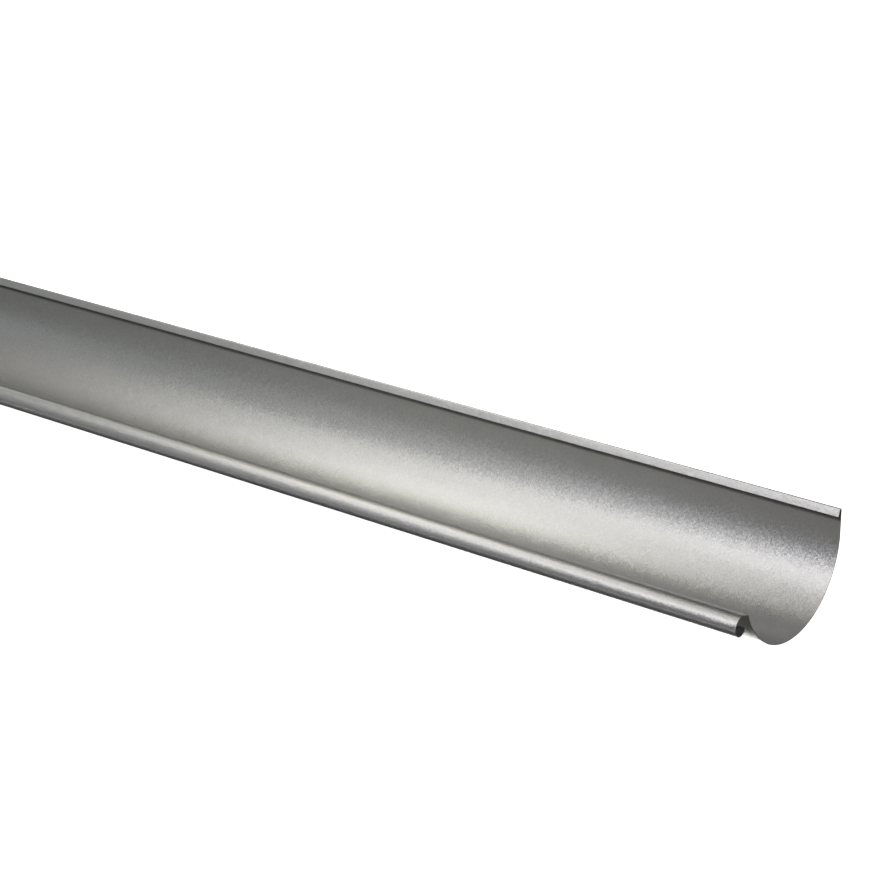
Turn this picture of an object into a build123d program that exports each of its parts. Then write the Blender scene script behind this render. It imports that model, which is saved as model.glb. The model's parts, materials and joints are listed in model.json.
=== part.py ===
from build123d import *
from math import atan2, degrees
import os

# Steel rain gutter, one stock length, roll-formed from a single sheet.
# Across the gutter -Y is the front, with the bead, and +Y the back, with the high wall.
# All sizes are in millimetres and degrees. Bends are measured to the middle of the sheet.

# The sheet and the cut length
length = 2000
sheet = 0.6

# Round trough: outer radius, and how far round from the bottom the front wall climbs
trough_radius = 57.5
front_climb = 67.5

# Back wall, straight above the trough, with a stiffening flange folded down inside it
back_height = 16.3
fold_radius = 0.9
flange_length = 4.8
flange_lean = 23

# Front rim: a tight bend out of the trough, then a short shelf
rim_radius = 2.0
rim_bend = 52.5
shelf = 4.0

# Bead: a wide first curl, then a tighter one that brings the free lip back to the trough
crown_radius = 7.3
crown_turn = 120
lip_radius = 5.7
lip_turn = 150


def straight(previous, distance):
    """A flat stretch of sheet that goes on from the end of the previous one."""
    return PolarLine(previous @ 1, distance, direction=previous % 1)


def bend(previous, radius, turn):
    """A bend that starts tangent to the previous stretch. A positive turn goes left."""
    return JernArc(previous @ 1, previous % 1, radius, turn)


def gutter_section():
    """The bent sheet seen from +X, with the centre of the round trough at the origin."""
    middle_radius = trough_radius - sheet / 2
    foot = (middle_radius, 0)
    with BuildSketch() as section:
        with BuildLine():
            # Up the back wall, over the fold and down the flange
            wall = Line(foot, (middle_radius, back_height))
            fold = bend(wall, fold_radius, 180 - flange_lean)
            straight(fold, flange_length)
            # From the foot of the wall round the trough, over the rim and round the bead
            trough = JernArc(foot, (0, -1), middle_radius, -90 - front_climb)
            rim = bend(trough, rim_radius, rim_bend)
            crown = bend(straight(rim, shelf), crown_radius, crown_turn)
            bend(crown, lip_radius, lip_turn)
        trace(line_width=sheet)
    return section.face()


def at_rest(section):
    """The section turned about the trough until its weight hangs straight below the centre."""
    weight = section.center(CenterOf.MASS)
    return section.rotate(Axis.Z, -degrees(atan2(weight.X, -weight.Y)))


section = at_rest(gutter_section())
box = section.bounding_box()

# The round bottom lies on the floor at Z = 0, and the outline is centred on X = Y = 0
laid = section.moved(Location((-box.center().X, trough_radius, 0)))
gutter = extrude(Plane.YZ.offset(-length / 2) * laid, amount=length)
gutter.label = "gutter"

os.makedirs("parts", exist_ok=True)
export_step(gutter, "parts/gutter.step")
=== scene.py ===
import bpy
import json
from math import atan2, cos, pi, radians, sin, tan
from mathutils import Matrix, Vector


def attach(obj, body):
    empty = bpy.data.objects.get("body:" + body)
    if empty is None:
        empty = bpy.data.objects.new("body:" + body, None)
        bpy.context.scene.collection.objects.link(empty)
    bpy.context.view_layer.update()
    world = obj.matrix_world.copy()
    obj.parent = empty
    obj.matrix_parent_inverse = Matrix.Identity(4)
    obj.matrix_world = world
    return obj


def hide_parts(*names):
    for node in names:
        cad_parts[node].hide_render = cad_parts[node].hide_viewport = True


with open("model.json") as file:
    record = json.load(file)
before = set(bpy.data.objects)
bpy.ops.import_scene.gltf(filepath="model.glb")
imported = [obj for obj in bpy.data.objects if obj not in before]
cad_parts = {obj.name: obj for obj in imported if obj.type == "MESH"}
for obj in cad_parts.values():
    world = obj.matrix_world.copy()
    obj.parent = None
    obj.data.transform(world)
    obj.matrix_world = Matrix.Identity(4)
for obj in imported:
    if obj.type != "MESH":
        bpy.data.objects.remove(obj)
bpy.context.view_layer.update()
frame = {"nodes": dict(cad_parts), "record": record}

mounts = {mount["name"]: mount for mount in frame["record"]["mounts"]}
print("frame loaded:", ", ".join(frame["nodes"]))


# Node trees written as Python expressions

def operator(operation, reflected=False):
    # A method for one arithmetic sign, which adds one Math node
    def method(value, other):
        terms = (other, value) if reflected else (value, other)
        return value.nodes.math(operation, *terms)
    return method


class Value:
    # A node's output that can stand in a sum
    def __init__(self, nodes, socket):
        self.nodes = nodes
        self.socket = socket

    def math(self, operation, *terms):
        return self.nodes.math(operation, self, *terms)

    def output(self, name):  # another output of the same node
        return Value(self.nodes, self.socket.node.outputs[name])

    __add__ = operator("ADD")
    __sub__ = operator("SUBTRACT")
    __mul__ = operator("MULTIPLY")
    __truediv__ = operator("DIVIDE")
    __radd__ = operator("ADD", reflected=True)
    __rsub__ = operator("SUBTRACT", reflected=True)
    __rmul__ = operator("MULTIPLY", reflected=True)
    __rtruediv__ = operator("DIVIDE", reflected=True)


class Nodes:
    # Adds nodes to one tree
    def __init__(self, tree):
        self.tree = tree
        tree.nodes.clear()

    def add(self, kind, settings=None, inputs=None, output=0):
        # A node by its type, its settings, and the values or links of its sockets
        node = self.tree.nodes.new(kind)
        for name, value in (settings or {}).items():
            setattr(node, name, value)
        for key, value in (inputs or {}).items():
            for term in value if isinstance(value, list) else [value]:
                self.fill(node.inputs[key], term)
        return Value(self, node.outputs[output]) if node.outputs else None

    def fill(self, socket, term):
        if isinstance(term, Value):
            self.tree.links.new(term.socket, socket)
        else:
            socket.default_value = term

    def math(self, operation, *terms):
        return self.add("ShaderNodeMath", {"operation": operation}, dict(enumerate(terms)))

    def vector(self, operation, *terms):
        return self.add("ShaderNodeVectorMath", {"operation": operation}, dict(enumerate(terms)))

    def scaled(self, vector, factor):
        return self.add("ShaderNodeVectorMath", {"operation": "SCALE"}, {"Vector": vector, "Scale": factor})

    def point(self, x=0.0, y=0.0, z=0.0):
        return self.add("ShaderNodeCombineXYZ", None, {"X": x, "Y": y, "Z": z})

    def mixed(self, factor, first, second):
        # A colour between two others; 6, 7 and 2 are the Mix node's sockets for colours
        colours = {6: (*first, 1), 7: (*second, 1)}
        return self.add("ShaderNodeMix", {"data_type": "RGBA"}, {"Factor": factor, **colours}, 2)


def newMaterial(name):
    # A material with an empty node tree
    material = bpy.data.materials.new(name)
    material.use_nodes = True
    return material, Nodes(material.node_tree)


# The gutter's sizes, and how it lies

gutterSizes = {  # metres, and radians for turns; bends are measured to the middle of the sheet
    "Length": 2.0,
    "Sheet": 0.0006,
    "Trough Radius": 0.0575,  # to the outside
    "Front Climb": radians(67.5),  # how far round from the bottom the front wall goes
    "Back Height": 0.0163,  # straight wall above the trough
    "Fold Radius": 0.0009,
    "Flange Length": 0.0048,
    "Flange Lean": radians(23),  # from the back wall
    "Rim Radius": 0.002,
    "Rim Bend": radians(52.5),
    "Shelf": 0.004,  # flat stretch between the rim and the bead
    "Crown Radius": 0.0073,
    "Crown Turn": radians(120),
    "Lip Radius": 0.0057,
    "Lip Turn": radians(150),
    "Facet Depth": 0.000005,  # how far a facet of a bend may cut inside the true arc
    "Facet Run": 0.05,
}
weldDistance = 0.00001  # metres between points that become one
sharpEdge = radians(40)  # a sharper edge between two faces isn't shaded smooth
wallAxis = mounts["back_wall"]["axis"]  # square to the back wall
leanBack = atan2(-wallAxis[2], wallAxis[1])  # the gutter lies at rest leaning back
troughCentre = (0.0, mounts["end_right"]["pos_m"][1], gutterSizes["Trough Radius"])


# Silver coating of the sheet, and the bare steel of its cut edges

coatingLook = {
    "colour": (0.42, 0.42, 0.42),
    "metallic": 0.9,
    "roughness": 0.36,
    "fleckSize": 0.0006,  # metres across one fleck of the coating
    "fleckLean": (0.07, 0.20, 0.20),  # how far a fleck leans, mostly across the rolling direction
    "mottleSize": 0.0009,  # metres across one lighter or darker patch of flecks
    "mottle": 0.11,  # how far those patches differ in brightness
    "paintedShadeColour": (0.125, 0.125, 0.125),  # painted shade on the back wall, behind the flange
    "paintedShadeFade": (0.0070, 0.0094),  # heights above the trough's centre between which it comes in
}

cutEdgeLook = {
    "darkColour": (0.50, 0.50, 0.49),
    "lightColour": (0.72, 0.72, 0.71),
    "metallic": 1.0,
    "roughness": 0.42,
    "burrSize": 0.0003,  # metres between the marks that the shears left
    "burrDetail": 3.0,  # how many finer layers of marks lie over them
    "burrDepth": 0.00002,
}


def sectionPlace(nodes):
    # Where a point of the sheet lies in the plumb section, from the trough's centre
    place = nodes.add("ShaderNodeTexCoord", output="Object")
    away = nodes.vector("SUBTRACT", place, troughCentre)
    away = nodes.add("ShaderNodeSeparateXYZ", None, {"Vector": away}, "Y")
    across = away * cos(leanBack) - away.output("Z") * sin(leanBack)
    up = away * sin(leanBack) + away.output("Z") * cos(leanBack)
    return place, across, up


def buildCoating():
    look = coatingLook
    material, nodes = newMaterial("silverCoating")
    place, across, up = sectionPlace(nodes)

    # Flecks that lean a little, and patches of them that shine differently
    fleck = nodes.add("ShaderNodeTexVoronoi", {"feature": "F1"},
                      {"Vector": place, "Scale": 1 / look["fleckSize"]}, "Color")
    lean = nodes.vector("SUBTRACT", fleck, (0.5, 0.5, 0.5))
    normal = nodes.add("ShaderNodeNewGeometry", output="Normal")
    leaning = nodes.vector("ADD", normal, nodes.vector("MULTIPLY", lean, look["fleckLean"]))
    patch = nodes.add("ShaderNodeTexVoronoi", {"feature": "F1"},
                      {"Vector": place, "Scale": 1 / look["mottleSize"]}, "Color")
    tone = (nodes.add("ShaderNodeSeparateXYZ", None, {"Vector": patch}) - 0.5) * look["mottle"] + 1

    # The painted shade lies only on the back wall's inner face, behind the flange
    fadeStart, fadeEnd = look["paintedShadeFade"]
    paintedShadeMask = nodes.add("ShaderNodeMapRange", {"interpolation_type": "SMOOTHSTEP"},
                       {"Value": up, "From Min": fadeStart, "From Max": fadeEnd})
    paintedShadeMask *= up.math("LESS_THAN", gutterSizes["Back Height"])
    wallInside = gutterSizes["Trough Radius"] - gutterSizes["Sheet"]
    paintedShadeMask *= across.math("COMPARE", wallInside, gutterSizes["Sheet"] / 2)
    colour = nodes.mixed(paintedShadeMask, look["colour"], look["paintedShadeColour"])
    shader = nodes.add("ShaderNodeBsdfPrincipled", None, {
        "Base Color": nodes.scaled(colour, tone), "Metallic": look["metallic"],
        "Roughness": look["roughness"], "Normal": nodes.vector("NORMALIZE", leaning)})
    nodes.add("ShaderNodeOutputMaterial", None, {"Surface": shader})
    return material


def buildCutEdge():
    look = cutEdgeLook
    material, nodes = newMaterial("cutSteelEdge")
    place = nodes.add("ShaderNodeTexCoord", output="Object")
    burr = nodes.add("ShaderNodeTexNoise", None, {
        "Vector": place, "Scale": 1 / look["burrSize"], "Detail": look["burrDetail"]}, "Fac")
    colour = nodes.mixed(burr, look["darkColour"], look["lightColour"])
    bump = nodes.add("ShaderNodeBump", None, {"Height": burr, "Distance": look["burrDepth"]})
    shader = nodes.add("ShaderNodeBsdfPrincipled", None, {
        "Base Color": colour, "Metallic": look["metallic"],
        "Roughness": look["roughness"], "Normal": bump})
    nodes.add("ShaderNodeOutputMaterial", None, {"Surface": shader})
    return material


# Gutter: one sheet, bent stretch by stretch into its section and run out to its length

class Pen:
    # Draws a section one stretch after another, each running on from the last
    def __init__(self, nodes, across, up, heading, facetDepth):
        self.nodes = nodes
        self.across = across
        self.up = up
        self.heading = heading
        self.facetDepth = facetDepth
        self.stretches = []

    def straight(self, distance):
        start = self.nodes.point(self.across, self.up)
        self.across += distance * self.nodes.math("COSINE", self.heading)
        self.up += distance * self.nodes.math("SINE", self.heading)
        end = self.nodes.point(self.across, self.up)
        self.stretches.append(self.nodes.add(
            "GeometryNodeCurvePrimitiveLine", {"mode": "POINTS"}, {"Start": start, "End": end}))

    def bend(self, radius, turn, side):  # side is 1 for a turn to the left, -1 to the right
        spoke = self.heading - side * pi / 2  # from the bend's centre to the pen
        centreAcross = self.across - radius * self.nodes.math("COSINE", spoke)
        centreUp = self.up - radius * self.nodes.math("SINE", spoke)
        facetTurn = (8 * self.facetDepth / radius).math("SQRT")  # a chord's depth is r * turn^2 / 8
        arc = self.nodes.add("GeometryNodeCurveArc", {"mode": "RADIUS"}, {
            "Resolution": (turn / facetTurn).math("CEIL") + 1,
            "Radius": radius, "Start Angle": spoke, "Sweep Angle": side * turn})
        self.stretches.append(self.nodes.add("GeometryNodeTransform", None, {
            "Geometry": arc, "Translation": self.nodes.point(centreAcross, centreUp)}))
        spoke = spoke + side * turn
        self.across = centreAcross + radius * spoke.math("COSINE")
        self.up = centreUp + radius * spoke.math("SINE")
        self.heading = self.heading + side * turn

    def drawn(self):
        return self.nodes.add("GeometryNodeJoinGeometry", None, {"Geometry": self.stretches})


def buildGutterTree(coating, cutEdge):
    tree = bpy.data.node_groups.new("rollFormedGutter", "GeometryNodeTree")
    for name, value in gutterSizes.items():
        socket = tree.interface.new_socket(name, in_out="INPUT", socket_type="NodeSocketFloat")
        socket.default_value = value
    tree.interface.new_socket("Gutter", in_out="OUTPUT", socket_type="NodeSocketGeometry")
    nodes = Nodes(tree)
    given = tree.nodes.new("NodeGroupInput")
    size = {name: Value(nodes, given.outputs[name]) for name in gutterSizes}
    middleRadius = size["Trough Radius"] - size["Sheet"] * 0.5

    # Up the back wall, over the fold and down the flange
    back = Pen(nodes, middleRadius, 0.0, pi / 2, size["Facet Depth"])
    back.straight(size["Back Height"])
    back.bend(size["Fold Radius"], pi - size["Flange Lean"], 1)
    back.straight(size["Flange Length"])

    # From the foot of the back wall round the trough, over the rim and round the bead
    front = Pen(nodes, middleRadius, 0.0, -pi / 2, size["Facet Depth"])
    front.bend(middleRadius, size["Front Climb"] + pi / 2, -1)
    front.bend(size["Rim Radius"], size["Rim Bend"], 1)
    front.straight(size["Shelf"])
    front.bend(size["Crown Radius"], size["Crown Turn"], 1)
    front.bend(size["Lip Radius"], size["Lip Turn"], 1)

    # One surface along X, welded where the stretches meet
    backward = nodes.add("GeometryNodeReverseCurve", None, {"Curve": back.drawn()})
    section = nodes.add("GeometryNodeJoinGeometry", None, {"Geometry": [backward, front.drawn()]})
    end = size["Length"] * 0.5
    path = nodes.add("GeometryNodeCurvePrimitiveLine", {"mode": "POINTS"},
                     {"Start": nodes.point(end * -1), "End": nodes.point(end)})
    path = nodes.add("GeometryNodeResampleCurve", None, {
        "Curve": path, "Count": (size["Length"] / size["Facet Run"]).math("CEIL") + 1})
    sheet = nodes.add("GeometryNodeCurveToMesh", None, {"Curve": path, "Profile Curve": section})
    sheet = nodes.add("GeometryNodeMergeByDistance", None, {"Geometry": sheet, "Distance": weldDistance})
    sheet = nodes.add("GeometryNodeTransform", None, {  # the run comes out upside down
        "Geometry": sheet, "Rotation": (pi - leanBack, 0, 0), "Translation": troughCentre})

    # Half the sheet's thickness to each side of that surface
    normal = nodes.add("GeometryNodeInputNormal")
    inside = nodes.add("GeometryNodeSetPosition", None,
                       {"Geometry": sheet, "Offset": nodes.scaled(normal, size["Sheet"] * -0.5)})
    outside = nodes.add("GeometryNodeExtrudeMesh", {"mode": "FACES"},
                        {"Mesh": inside, "Offset Scale": size["Sheet"], "Individual": False})
    outside = nodes.add("GeometryNodeStoreNamedAttribute", {"data_type": "BOOLEAN", "domain": "FACE"},
                        {"Geometry": outside, "Name": "cut", "Value": outside.output("Side")})
    inside = nodes.add("GeometryNodeFlipFaces", None, {"Mesh": inside})
    solid = nodes.add("GeometryNodeJoinGeometry", None, {"Geometry": [inside, outside]})
    solid = nodes.add("GeometryNodeMergeByDistance", None, {"Geometry": solid, "Distance": weldDistance})
    solid = nodes.add("GeometryNodeRealizeInstances", None, {"Geometry": solid})
    solid = nodes.add("GeometryNodeSetMaterial", None, {"Geometry": solid, "Material": coating})
    cut = nodes.add("GeometryNodeInputNamedAttribute", {"data_type": "BOOLEAN"}, {"Name": "cut"})
    solid = nodes.add("GeometryNodeSetMaterial", None,
                      {"Geometry": solid, "Selection": cut, "Material": cutEdge})
    nodes.add("NodeGroupOutput", None, {"Gutter": solid})
    return tree


def buildGutter():
    coating = buildCoating()
    cutEdge = buildCutEdge()
    tree = buildGutterTree(coating, cutEdge)
    blank = bpy.data.meshes.new("steelGutter")
    gutter = bpy.data.objects.new("steelGutter", blank)
    bpy.context.collection.objects.link(gutter)
    forming = gutter.modifiers.new("rollForming", "NODES")
    forming.node_group = tree
    for item in tree.interface.items_tree:
        if item.in_out == "INPUT":
            forming[item.identifier] = gutterSizes[item.name]
    evaluated = gutter.evaluated_get(bpy.context.evaluated_depsgraph_get())
    formed = bpy.data.meshes.new_from_object(evaluated)
    gutter.modifiers.clear()
    formed.materials.pop(index=0)  # the empty slot of the bare run
    gutter.data = formed
    formed.shade_smooth()
    formed.set_sharp_from_angle(angle=sharpEdge)
    bpy.data.meshes.remove(blank)
    return gutter


gutter = buildGutter()
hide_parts("gutter")
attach(gutter, "root")
print("gutter formed:", len(gutter.data.polygons), "faces,", [m.name for m in gutter.data.materials])


# Camera, at the photograph's angle

cameraView = {
    "place": (1.82983, -1.35123, 0.82100),  # place, turn and lens are fitted to the photograph's edges
    "turn": (67.005, 1.878, 38.949),  # degrees
    "lens": 111.79,  # millimetres, as is the sensor
    "sensorWidth": 36,
    "clipEnd": 100,  # metres, past the backdrop
}


def buildCamera():
    view = cameraView
    camera = bpy.data.objects.new("camera", bpy.data.cameras.new("camera"))
    camera.data.sensor_width = view["sensorWidth"]
    camera.data.lens = view["lens"]
    camera.data.clip_end = view["clipEnd"]
    camera.location = view["place"]
    camera.rotation_euler = [radians(angle) for angle in view["turn"]]
    bpy.context.collection.objects.link(camera)
    bpy.context.scene.camera = camera


buildCamera()
print("camera set")


# Pale floor, which curves up into a backdrop

floorLook = {
    "radius": 18.0,  # metres of level floor
    "backdropHeight": 9.0,
    "around": 96,  # faces round the floor's edge
    "rise": 12,  # faces up the backdrop
    "colour": (0.90, 0.90, 0.90, 1.0),
    "glow": 1.12,
}


def buildFloor():
    look = floorLook
    material, nodes = newMaterial("paleFloor")
    shader = nodes.add("ShaderNodeBsdfPrincipled", None, {
        "Base Color": look["colour"], "Roughness": 1.0, "Specular IOR Level": 0.0,
        "Emission Color": look["colour"], "Emission Strength": look["glow"]})
    nodes.add("ShaderNodeOutputMaterial", None, {"Surface": shader})
    around = look["around"]
    rise = look["rise"]
    corners = [(0.0, 0.0, 0.0)]
    for ring in range(rise + 1):
        climb = ring / rise * pi / 2
        radius = look["radius"] + look["backdropHeight"] * sin(climb)
        height = look["backdropHeight"] * (1 - cos(climb))
        for step in range(around):
            turn = 2 * pi * step / around
            corners.append((radius * cos(turn), radius * sin(turn), height))
    faces = [(0, 1 + step, 1 + (step + 1) % around) for step in range(around)]
    for ring in range(rise):
        for step in range(around):
            low = 1 + ring * around
            after = (step + 1) % around
            faces.append((low + step, low + around + step, low + around + after, low + after))
    mesh = bpy.data.meshes.new("floor")
    mesh.from_pydata(corners, [], faces)
    mesh.materials.append(material)
    mesh.shade_smooth()
    floor = bpy.data.objects.new("floor", mesh)
    bpy.context.collection.objects.link(floor)
    floor.visible_glossy = False  # the camera alone sees the floor
    floor.visible_diffuse = False
    floor.visible_shadow = False


buildFloor()
print("floor laid")


# Soft studio lights, panels placed round the gutter's long axis

softboxDistance = 1.8  # metres from the line that the panels face
softboxLineHeight = 0.05
softboxes = [
    # bearing and spread in degrees, from 0 at the back over 90 overhead to 180 at the front;
    # run is where the panel starts and ends along X, and glow is its radiance;
    # a separate fitting program solved these rows from the gutter's shading in the photograph
    {"bearing": 45, "spread": 15, "run": (-2.7, -1.5), "glow": 2.22, "colour": (0.72, 0.87, 1.00)},
    {"bearing": 45, "spread": 15, "run": (-1.5, -0.3), "glow": 1.69, "colour": (1.00, 0.98, 0.80)},
    {"bearing": 75, "spread": 15, "run": (-0.9, -0.3), "glow": 3.57, "colour": (1.00, 0.99, 0.84)},
    {"bearing": 97.5, "spread": 30, "run": (-0.9, -0.3), "glow": 4.36, "colour": (1.00, 0.99, 0.94)},
    {"bearing": 97.5, "spread": 60, "run": (-0.3, 0.3), "glow": 0.49, "colour": (1.00, 0.89, 0.89)},
    {"bearing": 120, "spread": 15, "run": (0.3, 0.9), "glow": 3.13, "colour": (1.00, 0.99, 0.96)},
    {"bearing": 127.5, "spread": 30, "run": (-0.9, -0.3), "glow": 3.16, "colour": (1.00, 1.00, 0.94)},
    {"bearing": 142.5, "spread": 30, "run": (-0.3, 0.9), "glow": 2.77, "colour": (1.00, 0.98, 0.99)},
    {"bearing": 157.5, "spread": 30, "run": (-2.7, -1.5), "glow": 0.64, "colour": (0.89, 1.00, 0.98)},
    {"bearing": 165, "spread": 15, "run": (-0.3, 0.9), "glow": 0.52, "colour": (0.84, 0.80, 1.00)},
    {"bearing": 172.5, "spread": 30, "run": (-0.9, -0.3), "glow": 1.36, "colour": (0.96, 1.00, 0.95)},
    {"bearing": 210, "spread": 15, "run": (-3.3, 1.5), "glow": 0.86, "colour": (1.00, 0.98, 1.00)},
    {"bearing": 240, "spread": 15, "run": (-3.3, -0.3), "glow": 0.24, "colour": (0.97, 1.00, 0.99)},
    {"bearing": 255, "spread": 15, "run": (-0.3, 0.6), "glow": 0.27, "colour": (1.00, 0.98, 0.83)},
    {"bearing": 300, "spread": 15, "run": (-3.3, -0.3), "glow": 0.71, "colour": (0.97, 0.98, 1.00)},
    {"bearing": 300, "spread": 15, "run": (-0.3, 0.6), "glow": 2.31, "colour": (1.00, 0.99, 0.92)},
    {"bearing": 315, "spread": 15, "run": (-0.6, 0.6), "glow": 4.91, "colour": (0.98, 0.98, 1.00)},
    # chosen for the views from behind and from the ends
    {"bearing": 0, "spread": 30, "run": (-2.4, 2.4), "glow": 1.50, "colour": (1.00, 1.00, 1.00)},
    {"bearing": 45, "spread": 45, "run": (1.5, 3.3), "glow": 1.20, "colour": (1.00, 1.00, 1.00)},
    {"bearing": 90, "spread": 45, "run": (1.5, 3.3), "glow": 1.20, "colour": (1.00, 1.00, 1.00)},
    {"bearing": 135, "spread": 45, "run": (1.5, 3.3), "glow": 1.20, "colour": (1.00, 1.00, 1.00)},
]
endPanels = [  # upright panels that far away along X, for the views from the ends
    {"away": -5.0, "width": 3.0, "height": 2.4, "glow": 1.20, "colour": (1.00, 1.00, 1.00)},
    {"away": 5.0, "width": 3.0, "height": 2.4, "glow": 1.20, "colour": (1.00, 1.00, 1.00)},
]
surroundings = (0.015, 0.015, 0.015, 1.0)


def hangPanel(name, outward, along, centre, width, height, box):
    # An area light that faces back along outward; its power is pi times its area and radiance
    light = bpy.data.lights.new(name, "AREA")
    light.shape = "RECTANGLE"
    light.size = width
    light.size_y = height
    light.energy = pi * width * height * box["glow"]
    light.color = box["colour"]
    panel = bpy.data.objects.new(name, light)
    place = Matrix((along, outward.cross(along), outward)).transposed().to_4x4()
    place.translation = centre
    panel.matrix_world = place
    panel.visible_camera = False
    bpy.context.collection.objects.link(panel)


def buildSoftbox(name, box):
    start, end = box["run"]
    bearing = radians(box["bearing"])
    outward = Vector((0, cos(bearing), sin(bearing)))
    centre = outward * softboxDistance + Vector(((start + end) / 2, 0, softboxLineHeight))
    height = 2 * softboxDistance * tan(radians(box["spread"]) / 2)
    hangPanel(name, outward, Vector((1, 0, 0)), centre, end - start, height, box)


def buildEndPanel(name, box):
    outward = Vector((1 if box["away"] > 0 else -1, 0, 0))
    centre = Vector((box["away"], 0, box["height"] / 2))
    hangPanel(name, outward, Vector((0, 1, 0)), centre, box["width"], box["height"], box)


def buildLights():
    for number, box in enumerate(softboxes):
        buildSoftbox("softbox%02d" % number, box)
    for number, box in enumerate(endPanels):
        buildEndPanel("endPanel%02d" % number, box)
    world = bpy.data.worlds.new("studio")
    world.use_nodes = True
    nodes = Nodes(world.node_tree)
    sky = nodes.add("ShaderNodeBackground", None, {"Color": surroundings, "Strength": 1.0})
    nodes.add("ShaderNodeOutputWorld", None, {"Surface": sky})
    bpy.context.scene.world = world


buildLights()
bpy.context.scene.view_settings.view_transform = "Standard"
print("lights set:", len(softboxes), "softboxes and", len(endPanels), "end panels")
